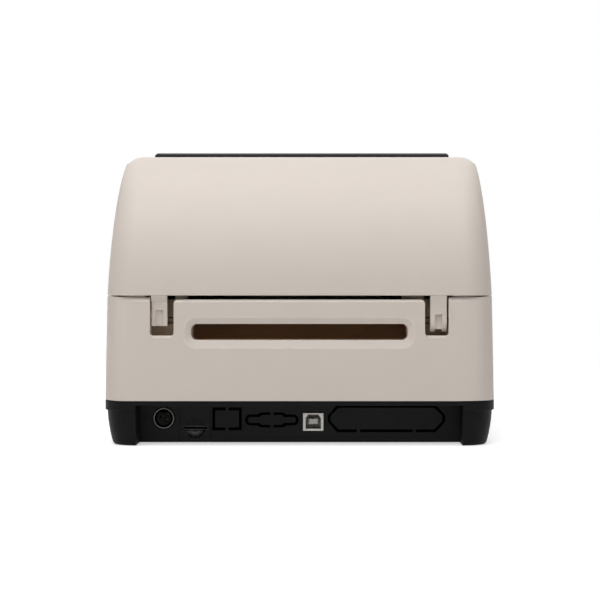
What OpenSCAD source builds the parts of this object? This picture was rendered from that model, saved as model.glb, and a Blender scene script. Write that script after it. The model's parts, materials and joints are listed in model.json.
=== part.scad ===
// Desktop thermal label printer: millimetres, +Z up, front towards -Y, rear towards +Y.
// The origin lies on the table, under the middle of the body.

/* [Overall size] */
// Width across the flange of the base
body_w = 226; // [222:1:230]
// Depth from the front wall to the rear wall
body_d = 285; // [284:1:287]
// Height of the flat crest of the cover above the table
crest_z = 173; // [171:0.5:176]
// Corner radius of the body, seen from above
corner_r = 16; // [13:1:18]
// Wall thickness of the beige mouldings
wall = 2.8; // [2.6:0.1:3]

/* [Top cover] */
// Height of the cover's lower edge above the table
cover_z = 86.5; // [86.2:0.1:87]
// Gap between the cover and the case
seam = 0.2; // [0.2:0.05:0.4]
// How far each side of the cover leans in from the seam to the crest
cover_lean = 4.4; // [2:0.1:4.6]
// Width of the bevel along the top of each side
bevel_x = 4; // [3:0.1:6]
// Height of the bevel along the top of each side
bevel_z = 6; // [4:0.5:6]
// Corner radius of the cover at its crest, seen from above
crest_r = 6; // [5:0.5:8]
// Radius of the front slope of the cover
front_r = 112; // [106:1:116]
// Angle at which the cover is drawn, 0 when closed
cover_open = 0; // [0:1:90]

/* [Window] */
// Width of the window pane
pane_w = 187; // [182:1:188]
// How far the pane stands above the cover
pane_t = 3.5; // [2.5:0.5:4]
// Distance of the pane's rear edge from the rear wall
pane_back = 92; // [88:1:100]

/* [Rear label slot] */
// Width of the slot
slot_w = 124; // [116:0.2:124]
// Height of the slot
slot_h = 9.2; // [8:0.2:10]
// Height of the slot's middle above the table
slot_z = 65.6; // [65:0.1:67]

/* [Connector recess] */
// Width of the recess
recess_w = 187.4; // [186:0.2:190]
// Depth of the recess from the rear wall
recess_d = 22; // [20:1:24]
// Height of the recess above the table
recess_h = 23.5; // [22.6:0.1:24]

/* [Print mechanism] */
// Radius of the platen's rubber
platen_r = 8.5; // [8:0.1:8.6]
// Teeth of the platen gear
platen_teeth = 30; // [29:1:31]
// Teeth of the idler gear
idler_teeth = 24; // [23:1:25]
// Teeth of the motor pinion
motor_teeth = 12; // [12:1:13]
// Tooth module of the drive gears
gear_module = 0.8; // [0.8:0.01:0.82]
// Turns of each print head spring
spring_turns = 5; // [4:1:6]

/* [Roll guides] */
// Distance between the two guides at their widest
guide_gap = 120; // [116:1:122]
// Travel of each guide towards the middle
guide_travel = 42; // [30:1:42]
// Teeth of the guide pinion
guide_teeth = 16; // [16:4:16]

/* [Hidden] */

$fn = 64;
eps = 0.01;
fit = 0.02;
run = 0.05;
clear = 0.3;

beige = [0.80, 0.76, 0.71];
tan_brown = [0.62, 0.48, 0.35];
black = [0.12, 0.12, 0.12];
smoke = [0.10, 0.09, 0.08];
dark_grey = [0.25, 0.25, 0.26];
steel = [0.70, 0.71, 0.73];
aluminium = [0.78, 0.79, 0.80];
rubber = [0.07, 0.07, 0.07];
nylon = [0.88, 0.87, 0.83];
board_green = [0.10, 0.35, 0.22];
gold = [0.80, 0.65, 0.30];

y_back = body_d / 2;
y_front = -body_d / 2;

// Heights of the base and the case
foot_h = 0.3;
base_z = 26.2;
flange_z = 20.4;
floor_t = 2.4;
floor_z = foot_h + floor_t;
case_z = cover_z - seam;
case_draft = 1.2;
case_half = body_w / 2 - case_draft;
rear_step_z = cover_z - 0.9;
rear_low_z = cover_z - 2.3;
lip_z = cover_z + 1.6;
pad_x = body_w / 2 - 13;
pad_y = y_back - 34;
pad_t = 1.8;

// Arcs of the cover: a quarter circle behind and a long slope in front
arch_r = crest_z - cover_z;
arch_y = y_back - arch_r;
slope_z = crest_z - front_r;
slope_y = y_front + sqrt(pow(front_r, 2) - pow(cover_z - slope_z, 2));
rim_t = 1.6;
rim_h = 1.2;

// Hinge axis of the cover
hinge_y = y_back - 8;
hinge_z = 72;
pin_r = 2;
notch_in = 71.8;
notch_out = 85.4;
notch_z = 63.6;
ear_t = 2.6;

// Connector panel
panel_y = y_back - recess_d;
panel_t = 2;
panel_in = panel_y - panel_t;
groove = 1.5;
groove_d = 1.5;
bridge = 2;
board_z = 5.4;
board_t = 1.6;
board_top = board_z + board_t;
power_x = 79.9;
power_z = 14.3;
power_pins = [[1.5, 0.8], [-1.9, 1.9], [-1.5, -1.4]];
card_x = 61.6;
card_w = 18.2;
card_z = 8.4;
dish_r = 6.3;
dish_d = 2.6;
network_x = 42.8;
serial_x = 16.5;
parallel_x = -50.8;
usb_x = -7.8;
usb_w = 12;
usb_h = 10.4;

// Print mechanism, seen in the YZ plane
platen_y = y_front + 30.5;
platen_z = 83;
motor_y = platen_y + 20;
motor_z = platen_z - 24;
plate_x = 63;
plate_t = 2;
gear_x = 67;
gear_t = 6;
label_half = 56;
rail_y = platen_y + 24;
rail_z = 79;
tear_z = cover_z + 2.5;

// The idler sits where it meets both the motor pinion and the platen gear
platen_pitch = platen_teeth * gear_module / 2;
idler_pitch = idler_teeth * gear_module / 2;
motor_pitch = motor_teeth * gear_module / 2;
drive_gap = norm([platen_y - motor_y, platen_z - motor_z]);
drive_angle = atan2(platen_z - motor_z, platen_y - motor_y);
idler_reach = motor_pitch + idler_pitch;
platen_reach = platen_pitch + idler_pitch;
idler_turn = acos((pow(idler_reach, 2) + pow(drive_gap, 2) - pow(platen_reach, 2))
    / (2 * idler_reach * drive_gap));
motor_line = drive_angle + idler_turn;
idler_y = motor_y + idler_reach * cos(motor_line);
idler_z = motor_z + idler_reach * sin(motor_line);
platen_line = atan2(platen_z - idler_z, platen_y - idler_y);
idler_phase = motor_line + 180 + 180 / idler_teeth;
idler_lag = platen_line - idler_phase;
platen_phase = platen_line + 180 + 180 / platen_teeth + idler_lag * idler_teeth / platen_teeth;

// Print head above the platen
head_z = platen_z + platen_r + clear;
ridge_r = 1.2;
plate_z = head_z + ridge_r;
sink_z = plate_z + 2;
bracket_z = sink_z + 8;
bracket_t = 1.5;
head_pin_y = platen_y + 20;
head_pin_z = bracket_z + 6;
beam_z = bracket_z + 15;
beam_t = 4;
boss_x = 92;
boss_y = platen_y + 8;
spring_x = 36;
spring_y = platen_y - 2;
wire_r = 0.5;

// Media bay and roll guides
deck_z = 36;
deck_t = 2.4;
guide_y = 30;
roll_z = 96;
guide_in = guide_gap / 2;
guide_t = 4;
rack_module = 1;
rack_z = 27;
rack_h = 4;
rack_pitch_r = guide_teeth * rack_module / 2;
rack_back = rack_pitch_r + 5;
axle_r = 4;
hub_len = 9;

// Front panel, release buttons and power rocker
fascia_t = 2.2;
fascia_x = 88;
fascia_z = [32, 80];
button_x = 62;
button_z = 58;
button_r = 7;
lens_x = [36, 43, 50];
release_y = platen_y + 16;
release_z = 70;
release_w = 26;
release_h = 12;
rocker_y = 95;
rocker_z = 50;
rocker_x = body_w / 2 - 3.4;
rocker_tilt = 8;
screw_x = body_w / 2 - 14;
screw_y = y_back - 15;

// Turns a drawing in the YZ plane so that it is extruded along +X
module along_x(x0, length) {
    translate([x0, 0, 0])
        rotate([90, 0, 90])
            linear_extrude(length)
                union()
                    children();
}

// Turns a drawing in the XZ plane so that it is extruded along +Y
module along_y(y0, length) {
    translate([0, y0 + length, 0])
        rotate([90, 0, 0])
            linear_extrude(length)
                union()
                    children();
}

module rod_x(x0, length, y, z, r) {
    translate([x0, y, z])
        rotate([0, 90, 0])
            cylinder(h = length, r = r);
}

module rod_y(y0, length, x, z, r) {
    translate([x, y0, z])
        rotate([-90, 0, 0])
            cylinder(h = length, r = r);
}

// A box between two corners
module block(low, high) {
    translate(low)
        cube(high - low);
}

module both_sides() {
    children();
    mirror([1, 0, 0])
        children();
}

// A rectangle with round corners, about its middle
module rounded(w, h, r) {
    square([w - 2 * r, h], center = true);
    square([w, h - 2 * r], center = true);
    for (x = [-1, 1], y = [-1, 1])
        translate([x * (w / 2 - r), y * (h / 2 - r)])
            circle(r);
}

// One level of a shell: a rectangle with round corners at height z
ring_steps = 9;
function level(half, front, back, r, z) = [
    for (c = [0:3], i = [0:ring_steps])
        let (a = c * 90 + i * 90 / ring_steps,
            x = (c == 0 || c == 3) ? half - r : r - half,
            y = c < 2 ? back - r : front + r)
        [x + r * cos(a), y + r * sin(a), z]
];

// A skin through levels of equal point counts, closed at both ends
module loft(levels) {
    n = len(levels[0]);
    last = (len(levels) - 1) * n;
    sides = [
        for (k = [0:n:last - n], i = [0:n - 1])
            let (j = (i + 1) % n)
            each [[k + i, k + n + j, k + j], [k + i, k + n + i, k + n + j]]
    ];
    bottom = [for (i = [0:n - 1]) i];
    top = [for (i = [n - 1:-1:0]) last + i];
    polyhedron([for (p = levels) each p], concat(sides, [bottom, top]));
}

// Half width of the cover at height z, with the bevel along its top
function cover_half(z) = case_half
    - cover_lean * (z - cover_z) / arch_r
    - bevel_x / bevel_z * max(0, z - (crest_z - bevel_z));

// One level of the cover at angle a up the rear arch, t inside its outer face, with corners of radius r
function cover_level(a, t, r) =
    let (z = cover_z + (arch_r - t) * sin(a),
        back = arch_y + (arch_r - t) * cos(a),
        front = slope_y - sqrt(pow(front_r - t, 2) - pow(z - slope_z, 2)))
    level(cover_half(z) - t, front, back, r, z);

// The outer corners grow tighter towards the crest
function outer_r(a) = crest_r + (corner_r - crest_r) * sqrt(cos(a));

bevel_angle = asin((arch_r - bevel_z) / arch_r);
outer_angles = concat([for (a = [0:6:66]) a], [bevel_angle, 74, 80, 85, 90]);
rim_angle = asin(rim_h / (arch_r - wall));
inner_angles = [90, 82, 74, 64, 52, 40, 28, 18, 12, 6, rim_angle];

// One level of the case, t inside its outer face
function case_level(z, t) =
    level(body_w / 2 - case_draft * (z - base_z) / (case_z - base_z) - t,
        y_front + t, y_back - t, corner_r - t, z);

// One level of the base, drawn in by t
function base_level(z, t) =
    level(body_w / 2 - t, y_front + t, y_back - t, corner_r - t / 2, z);

// Involute gear with one tooth centred on +X, drawn about the origin
pressure = 20;
backlash = 0.1;
flank_steps = 4;
function roll_angle(r, base) = sqrt(max(0, pow(r / base, 2) - 1));
function involute(r, base) =
    let (t = roll_angle(r, base) * 180 / PI)
    t - atan(roll_angle(r, base));
function tooth_half(r, pitch, teeth) =
    let (base = pitch * cos(pressure))
    (PI * pitch / teeth - backlash) / 2 / pitch * 180 / PI
        + involute(pitch, base) - involute(max(r, base), base);
function on_circle(r, a) = [r * cos(a), r * sin(a)];

module gear(teeth, size, phase) {
    pitch = teeth * size / 2;
    root = pitch - 1.25 * size;
    tip = pitch + 0.95 * size;
    radii = [for (i = [0:flank_steps]) root + (tip - root) * i / flank_steps];
    polygon([
        for (k = [0:teeth - 1])
            let (a = phase + k * 360 / teeth)
            each concat(
                [for (i = [0:flank_steps]) on_circle(radii[i], a - tooth_half(radii[i], pitch, teeth))],
                [for (i = [flank_steps:-1:0]) on_circle(radii[i], a + tooth_half(radii[i], pitch, teeth))])
    ]);
}

// Outline of the base below its flange, drawn in more and more towards the table
base_levels = [[foot_h, 4.8], [1.4, 4.1], [3.4, 3.5], [6.5, 2.8], [10.5, 2.1], [15, 1.5],
    [flange_z, 1.1], [flange_z, 0], [base_z, 0]];

module base_shape() {
    loft([for (p = base_levels) base_level(p[0], p[1])]);
}

// Space inside the base, with steps that follow its drawn-in sides
module base_space() {
    for (s = [[floor_z, 7.8], [9, 5.2], [flange_z - 2, 3.4]])
        translate([0, 0, s[0]])
            linear_extrude(base_z - s[0] + 1)
                rounded(body_w - 2 * s[1], body_d - 2 * s[1], corner_r - s[1] / 2);
}

// Knock-out outlines, grown by g
module network_outline(g) {
    square([15.6 + 2 * g, 11.8 + 2 * g], center = true);
}

module serial_outline(g) {
    end_r = 2.5;
    end_x = 12.45;
    mid_h = 3.68 + g;
    square([2 * end_x, 2 * end_r + 2 * g], center = true);
    for (side = [-1, 1])
        translate([side * end_x, 0])
            circle(end_r + g);
    polygon([
        [-8 - g, end_r + g], [-6 - g / 2, mid_h], [6 + g / 2, mid_h], [8 + g, end_r + g],
        [8 + g, -end_r - g], [6 + g / 2, -mid_h], [-6 - g / 2, -mid_h], [-8 - g, -end_r - g]
    ]);
}

module parallel_outline(g) {
    half = 33.6 + g;
    flat = 28.6 + g / 2;
    tall = 7.25 + g;
    end_h = 1.7;
    polygon([
        [-half, end_h], [-flat, tall], [flat, tall], [half, end_h],
        [half, -end_h], [flat, -tall], [-flat, -tall], [-half, -end_h]
    ]);
}

// A groove round a knock-out, left whole at its bridges
module network_groove() {
    difference() {
        network_outline(groove / 2);
        network_outline(-groove / 2);
        square([bridge, 40], center = true);
    }
}

module serial_groove() {
    difference() {
        serial_outline(groove / 2);
        serial_outline(-groove / 2);
        square([bridge, 40], center = true);
    }
}

module parallel_groove() {
    difference() {
        parallel_outline(groove / 2);
        parallel_outline(-groove / 2);
        for (x = [-16.4, 16.4])
            translate([x - bridge / 2, -20])
                square([bridge, 20]);
    }
}

// Cuts a drawing into the rear face of the panel
module in_panel(x, z, depth) {
    along_y(panel_y - depth, depth + 1)
        translate([x, z])
            children();
}

module panel_cuts() {
    rod_y(panel_in - 1, panel_t + 2, power_x, power_z, 6.5);
    in_panel(usb_x, board_top + usb_h / 2, panel_t + 1)
        rounded(usb_w + 2 * clear, usb_h + 2 * clear, 0.8);
    in_panel(network_x, 14, groove_d)
        network_groove();
    in_panel(serial_x, 13.3, groove_d)
        serial_groove();
    in_panel(parallel_x, 14.2, groove_d)
        parallel_groove();
    block([card_x - card_w / 2, panel_in - 3, 0], [card_x + card_w / 2, panel_y + 1, recess_h + eps]);
}

// Posts that stand on the floor of the base
board_holes = [[-82, 40], [82, 40], [-82, 104], [44, 104]];
chassis_posts = [[-54, platen_y - 8], [54, platen_y - 8], [-54, motor_y + 16], [54, motor_y + 16]];

module base_tray() {
    color(black)
        difference() {
            union() {
                difference() {
                    base_shape();
                    difference() {
                        base_space();
                        block([-recess_w / 2 - panel_t, panel_in, 0],
                            [recess_w / 2 + panel_t, y_back, base_z]);
                    }
                }
                for (p = board_holes)
                    translate([p[0], p[1], floor_z - 1])
                        cylinder(h = board_z - floor_z + 1, r = 3.5);
                for (p = chassis_posts)
                    translate([p[0], p[1], floor_z - 1])
                        cylinder(h = 38 - floor_z + 1, r = 4);
                for (x = [-1, 1], y = [-1, 1])
                    translate([x * screw_x, y * screw_y, foot_h])
                        cylinder(h = base_z - foot_h, r = 4.8);
            }
            block([-recess_w / 2, panel_y, -1], [recess_w / 2, y_back + 1, recess_h]);
            panel_cuts();
            for (x = [-1, 1], y = [-1, 1])
                translate([x * screw_x, y * screw_y, 0]) {
                    cylinder(h = 6, r = 3.6);
                    cylinder(h = base_z + 1, r = 1.8);
                }
            for (p = board_holes)
                translate([p[0], p[1], floor_z])
                    cylinder(h = 4, r = 1.3);
            pads(pad_t, 0.1);
            for (x = [-40:10:40])
                block([x - 1.5, -40, 0], [x + 1.5, 10, floor_z + 1]);
        }
}

// Pads set into the underside of the base, grown by g
module pads(height, g) {
    for (x = [-1, 1], y = [-1, 1])
        translate([x * pad_x, y * pad_y, 0])
            linear_extrude(height)
                rounded(12 + 2 * g, 24 + 2 * g, 4 + g);
}

module rubber_feet() {
    color(rubber)
        pads(pad_t, 0);
}

module base_screws() {
    color(steel)
        for (x = [-1, 1], y = [-1, 1])
            translate([x * screw_x, y * screw_y, 0]) {
                translate([0, 0, 3])
                    difference() {
                        cylinder(h = 3, r = 3.2);
                        for (a = [0, 90])
                            rotate(a)
                                block([-2, -0.4, -1], [2, 0.4, 1.2]);
                    }
                translate([0, 0, 6])
                    cylinder(h = 28, r = 1.5);
            }
}

// Hinge notch in the rear wall, drawn in the XZ plane for one side
module notch_outline() {
    r = 1.7;
    wall_r = 2.6;
    mid = (notch_in + notch_out) / 2;
    top = cover_z + 4;
    translate([mid, (notch_z + top) / 2])
        rounded(notch_out - notch_in, top - notch_z, r);
    // Round upper corner of the wall beside the notch
    translate([notch_in - wall_r, rear_low_z - wall_r])
        difference() {
            square([wall_r + eps, wall_r + 4]);
            circle(wall_r);
        }
}

// Pocket behind a hinge notch, with an ear on each side of the arm
module hinge_pocket() {
    low = notch_z - 2.6;
    front = hinge_y - 9;
    ear_top = 79;
    block([notch_in - ear_t, front, low], [notch_in, y_back - 1, ear_top]);
    block([notch_out, front, low], [notch_out + ear_t, y_back - 1, ear_top]);
    block([notch_in - ear_t, front, low], [notch_out + ear_t, front + 2, rear_low_z]);
    block([notch_in - ear_t, front, low], [notch_out + ear_t, y_back - 1, low + 2]);
}

// Rib behind the rear seam, beside a hinge pocket
module seam_rib(x0, x1) {
    block([x0, y_back - wall - 11, 70], [x1, y_back - wall - 8, lip_z]);
}

// Lip that rises inside the cover's edge, left out at the hinge and at the label exit
module seam_lip() {
    low = case_z - 6;
    outer_t = wall + 0.8;
    inner_t = wall + 2.2;
    difference() {
        union() {
            loft([case_level(low, wall - 0.2), case_level(case_z - 1.5, wall - 0.2)]);
            loft([case_level(low, outer_t), case_level(lip_z, outer_t)]);
        }
        loft([case_level(low - 1, inner_t), case_level(lip_z + 1, inner_t)]);
        block([-88, 0, low - 1], [88, y_back, lip_z + 1]);
        block([-67, y_front, low - 1], [67, 0, lip_z + 1]);
    }
}

// Funnel behind the rear slot
module slot_chute() {
    block([-slot_w / 2 - 3, y_back - 15, slot_z - slot_h / 2 - 3],
        [slot_w / 2 + 3, y_back - 1, slot_z + slot_h / 2 + 3]);
}

module slot_cut() {
    bevel_d = 1.9;
    slot_r = 3.2;
    along_y(y_back - 20, 30)
        translate([0, slot_z])
            rounded(slot_w, slot_h, slot_r);
    hull() {
        along_y(y_back, 1)
            translate([0, slot_z - 0.45])
                rounded(slot_w + 7.6, slot_h + 8.4, slot_r + 3.7, $fn = 32);
        along_y(y_back - bevel_d, 0.1)
            translate([0, slot_z])
                rounded(slot_w, slot_h, slot_r, $fn = 32);
    }
}

// Step and bevel along the upper rear edge, and the lower stretch between the notches
module rear_edge_cut() {
    bevel = 2.6;
    step = 6;
    along_x(-body_w, 2 * body_w)
        polygon([
            [y_back - step, case_z + 1], [y_back - step, rear_step_z], [y_back - bevel, rear_step_z],
            [y_back, rear_step_z - bevel], [y_back + 1, rear_step_z - bevel], [y_back + 1, case_z + 1]
        ]);
    block([-notch_in - 1, y_back - wall - 1, rear_low_z], [notch_in + 1, y_back + 1, case_z + 1]);
}

module case_boss() {
    translate([screw_x, screw_y, base_z])
        cylinder(h = 14, r = 4.5);
    block([screw_x, screw_y - 1, base_z], [body_w / 2 - wall + 0.5, screw_y + 1, base_z + 14]);
}

module lower_case() {
    color(beige)
        difference() {
            union() {
                difference() {
                    loft([case_level(base_z, 0), case_level(case_z, 0)]);
                    loft([case_level(base_z - 1, wall), case_level(case_z + 1, wall)]);
                    rear_edge_cut();
                }
                seam_lip();
                seam_rib(64.6, notch_in);
                seam_rib(-notch_in, -58.9);
                slot_chute();
                both_sides() {
                    hinge_pocket();
                    for (y = [0, 1])
                        mirror([0, y, 0])
                            case_boss();
                    block([103, -58, deck_z - deck_t - 3], [body_w / 2 - wall, 108, deck_z - deck_t]);
                }
                block([-94, y_front + 1, base_z + 2], [94, y_front + 5, case_z - 1.5]);
                for (z = [button_z - 9, button_z + 9])
                    rod_y(y_front + 4, 4.5, button_x - 19, z, 2.2);
            }
            slot_cut();
            both_sides() {
                along_y(y_back - wall - 0.5, wall + 2)
                    notch_outline();
                rod_x(notch_in - 5, notch_out - notch_in + 10, hinge_y, hinge_z, pin_r);
                for (y = [-1, 1])
                    translate([screw_x, y * screw_y, base_z - 1])
                        cylinder(h = 13, r = 1.5 + fit);
                along_x(body_w / 2 - 8, 10)
                    translate([release_y, release_z])
                        rounded(release_w + 2 * clear, release_h + 2 * clear, 3);
            }
            along_y(y_front - 1, 1 + fascia_t)
                translate([0, (fascia_z[0] + fascia_z[1]) / 2])
                    rounded(2 * fascia_x + 0.4, fascia_z[1] - fascia_z[0] + 0.4, 4.2);
            rod_y(y_front - 1, 8, button_x, button_z, 9.5);
            for (x = lens_x)
                rod_y(y_front - 1, 8, x, button_z, 2.4);
            block([body_w / 2 - 9, rocker_y - 10.2, rocker_z - 6.2],
                [body_w / 2 + 1, rocker_y + 10.2, rocker_z + 6.2]);
            block([body_w / 2 - 1.1, rocker_y - 12.2, rocker_z - 8.2],
                [body_w / 2 + 1, rocker_y + 12.2, rocker_z + 8.2]);
        }
}

module hinge_pins() {
    inset = 0.2;
    color(beige)
        both_sides()
            rod_x(notch_in - ear_t + inset, notch_out - notch_in + 2 * (ear_t - inset),
                hinge_y, hinge_z, pin_r - fit);
}

// Ramp behind the rear slot that lifts the labels into the bay, with a cheek at each end
module label_ramp() {
    low = slot_z - slot_h / 2;
    end = y_back - 15;
    foot = end - 3.7;
    head = end - 18.5;
    rise = slot_h;
    color(tan_brown) {
        along_x(-slot_w / 2 - 2, slot_w + 4)
            polygon([
                [end, low - 3], [end, low], [foot, low], [head, low + rise],
                [head, low + rise - 2.4], [foot + 0.8, low - 3]
            ]);
        both_sides()
            along_x(slot_w / 2, 2)
                polygon([
                    [foot, low - eps], [foot, low + rise + 1.4],
                    [head, low + rise + 1.4], [head, low + rise - eps]
                ]);
    }
}

module front_fascia() {
    color(dark_grey)
        difference() {
            along_y(y_front, fascia_t)
                translate([0, (fascia_z[0] + fascia_z[1]) / 2])
                    rounded(2 * fascia_x, fascia_z[1] - fascia_z[0], 4);
            rod_y(y_front - 1, 5, button_x, button_z, button_r + clear);
            for (x = lens_x)
                rod_y(y_front - 1, 5, x, button_z, 1.8 + fit);
        }
}

module status_lenses() {
    color([0.75, 0.85, 0.75])
        for (x = lens_x) {
            rod_y(y_front + 0.2, 4, x, button_z, 1.8);
            rod_y(y_front + fascia_t + fit, 1.4, x, button_z, 2.2);
        }
}

module panel_board() {
    face = y_front + 8.5;
    color(board_green) {
        block([30, face, button_z - 12], [button_x + 14, face + 1.6, button_z + 12]);
        block([button_x - 3, face - 1.6, button_z - 3], [button_x + 3, face, button_z + 3]);
    }
}

// Lip below the label exit, resting on the front wall
module exit_lip() {
    rear = platen_y - platen_r - 2;
    half = 62.4;
    color(black)
        along_x(-half, 2 * half)
            polygon([
                [y_front + 0.6, case_z], [y_front + 1.2, tear_z - 0.9], [y_front + 4, tear_z],
                [rear, tear_z], [rear, case_z]
            ]);
}

// Steel tear bar with a row of teeth along its front edge
module tear_bar() {
    pitch = 2;
    half = 59;
    front = y_front + 3;
    color(steel)
        translate([0, 0, tear_z])
            linear_extrude(1)
                polygon(concat(
                    [[half, front + 11], [-half, front + 11], [-half, front]],
                    [
                        for (x = [-half:pitch:half - pitch])
                            each [[x + pitch / 2, front - 1.4], [x + pitch, front]]
                    ]
                ));
}

// Bar with teeth on its -Y side: its pitch line is y = 0, with a gap centred on x = 0
module rack(first, last, back) {
    step = PI * rack_module;
    slope = tan(pressure) * rack_module;
    half = step / 4 - backlash / 2;
    polygon(concat(
        [[last * step, back], [first * step, back]],
        [
            for (k = [first:last - 1])
                let (x = (k + 0.5) * step)
                each [
                    [x - half - 1.25 * slope, 1.25 * rack_module],
                    [x - half + 0.95 * slope, -0.95 * rack_module],
                    [x + half - 0.95 * slope, -0.95 * rack_module],
                    [x + half + 1.25 * slope, 1.25 * rack_module]
                ]
        ]));
}

// Turns a piece of the left guide into the same piece of the right guide
module other_guide() {
    translate([0, guide_y, 0])
        rotate(180)
            translate([0, -guide_y, 0])
                children();
}

module guide_slot() {
    block([guide_in - guide_travel - 0.5, guide_y + rack_pitch_r + 1.4, deck_z - deck_t - 1],
        [guide_in + guide_t + 0.5, guide_y + rack_back + 0.3, deck_z + 1]);
}

module rack_rib() {
    block([guide_in - guide_travel - 66, guide_y + rack_back + 0.4, rack_z],
        [guide_in + guide_t + 1, guide_y + rack_back + 2.4, deck_z - deck_t + eps]);
}

module media_bay() {
    bulk_y = rail_y + 26;
    color(beige)
        difference() {
            union() {
                block([-105.5, bulk_y, deck_z - deck_t], [105.5, 112, deck_z]);
                block([-62, bulk_y, deck_z - eps], [62, bulk_y + 2.4, 86]);
                both_sides()
                    block([78, bulk_y, deck_z - eps], [80.4, 112, 72]);
                rack_rib();
                other_guide()
                    rack_rib();
                translate([0, guide_y, rack_z - 0.5])
                    cylinder(h = deck_z - rack_z, r = 2.5);
            }
            guide_slot();
            other_guide()
                guide_slot();
        }
}

module main_board() {
    color(board_green)
        difference() {
            block([-88, 30, board_z], [88, panel_in - 2.5, board_top]);
            for (p = board_holes)
                translate([p[0], p[1], 0])
                    cylinder(h = 20, r = 1.7);
        }
}

module board_screws() {
    color(steel)
        for (p = board_holes)
            translate([p[0], p[1], 0]) {
                translate([0, 0, board_top])
                    cylinder(h = 1.6, r = 2.8);
                translate([0, 0, floor_z + 0.2])
                    cylinder(h = board_top - floor_z, r = 1.25);
            }
}

// Chips, capacitors and cable headers on the board
module board_parts() {
    color([0.16, 0.16, 0.17]) {
        block([-20, 50, board_top], [0, 70, board_top + 1.6]);
        block([14, 56, board_top], [26, 66, board_top + 1.2]);
        block([-56, 44, board_top], [-44, 52, board_top + 1.4]);
        for (x = [-70, -58, 60, 72])
            translate([x, 70, board_top])
                cylinder(h = 12, r = 4);
        for (x = [-30, 10, 40])
            block([x, 34, board_top], [x + 14, 39, board_top + 6]);
    }
}

module power_socket_core() {
    face = panel_in - 0.4;
    plug_r = 4.2;
    color(black)
        difference() {
            union() {
                block([power_x - 8, face - 13, board_top], [power_x + 8, face, power_z + 7]);
                rod_y(face - 1, 2.4, power_x, power_z, plug_r);
            }
            for (p = power_pins)
                rod_y(face - 9, 12, power_x + p[0], power_z + p[1], 0.9);
            block([power_x - 1.7, face, power_z + plug_r - 1.2],
                [power_x + 1.7, panel_y, power_z + plug_r + 1]);
        }
}

// Thin ring round the plug's way in, split at its top
module power_socket_shell() {
    face = panel_in - 0.4;
    split = 0.5;
    color(steel)
        difference() {
            rod_y(face, panel_y - face + 0.6, power_x, power_z, 6);
            rod_y(face - 1, panel_y - face + 3, power_x, power_z, 5.45);
            block([power_x - split, face + 1, power_z + 4], [power_x + split, panel_y + 1, power_z + 7]);
        }
}

module power_contacts() {
    color(gold)
        for (p = power_pins)
            rod_y(panel_in - 9.4, 2.6, power_x + p[0], power_z + p[1], 0.6);
}

// Plate with the card slot in the middle of a round finger dish
card_half = 7.6;
card_h = 2.4;

module card_slot_insert() {
    ball_r = (pow(dish_r, 2) + pow(dish_d, 2)) / (2 * dish_d);
    color(black)
        difference() {
            block([card_x - card_w / 2 + 0.1, panel_in - 2, foot_h],
                [card_x + card_w / 2 - 0.1, panel_y, recess_h - 0.1]);
            translate([card_x, panel_y - dish_d + ball_r, card_z])
                sphere(ball_r);
            block([card_x - card_half, panel_in - 3, card_z - card_h / 2],
                [card_x + card_half, panel_y + 1, card_z + card_h / 2]);
        }
}

// Reader with a thin mouth that stands in the slot of the insert
module card_reader() {
    rear = panel_in - 2.2;
    mouth = panel_y - dish_d - 0.2;
    gap = 0.1;
    lip = 0.4;
    color(steel)
        difference() {
            union() {
                block([card_x - 8.2, rear - 20, board_top], [card_x + 8.2, rear, board_top + 3.2]);
                block([card_x - card_half + gap, rear - 1, card_z - card_h / 2 + gap],
                    [card_x + card_half - gap, mouth, card_z + card_h / 2 - gap]);
            }
            block([card_x - card_half + gap + lip, rear - 18, card_z - card_h / 2 + gap + lip],
                [card_x + card_half - gap - lip, mouth + 1, card_z + card_h / 2 - gap - lip]);
        }
}

// Square socket: a thin can behind a wider front lip with two slanted upper corners
module usb_shell() {
    t = 0.5;
    low = board_top;
    high = board_top + usb_h;
    half = 4.45;
    color(steel)
        difference() {
            block([usb_x - usb_w / 2, panel_y - 16, low], [usb_x + usb_w / 2, panel_y + 0.8, high]);
            block([usb_x - usb_w / 2 + t, panel_y - 16 + t, low + t],
                [usb_x + usb_w / 2 - t, panel_y - 0.4, high - t]);
            along_y(panel_y - 2, 4)
                translate([usb_x, 0])
                    polygon([
                        [-half, low + 1.3], [half, low + 1.3], [half, high - 3], [half - 1.5, high - 0.8],
                        [1.5 - half, high - 0.8], [-half, high - 3]
                    ]);
        }
}

module usb_tongue() {
    root = panel_y - 12;
    color([0.62, 0.62, 0.60]) {
        block([usb_x - 5, panel_y - 15.4, board_top + 0.5], [usb_x + 5, root, board_top + usb_h - 2.2]);
        block([usb_x - 2.7, root - eps, board_top + 3.8], [usb_x + 2.7, panel_y - 0.8, board_top + 6.9]);
    }
}

module usb_contacts() {
    color(gold)
        for (x = [-1.25, 1.25], z = [3.6, 6.9])
            block([usb_x + x - 0.5, panel_y - 11.8, board_top + z],
                [usb_x + x + 0.5, panel_y - 5, board_top + z + 0.2]);
}

module switch_bezel() {
    outer = body_w / 2;
    color(black)
        difference() {
            union() {
                block([outer - 15, rocker_y - 10, rocker_z - 6], [outer, rocker_y + 10, rocker_z + 6]);
                block([outer - 1, rocker_y - 12, rocker_z - 8], [outer, rocker_y + 12, rocker_z + 8]);
            }
            block([outer - 9, rocker_y - 8.9, rocker_z - 5], [outer + 1, rocker_y + 8.9, rocker_z + 5]);
            translate([rocker_x, rocker_y, rocker_z - 5.6])
                cylinder(h = 11.2, r = 1.5 + run);
        }
}

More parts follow.
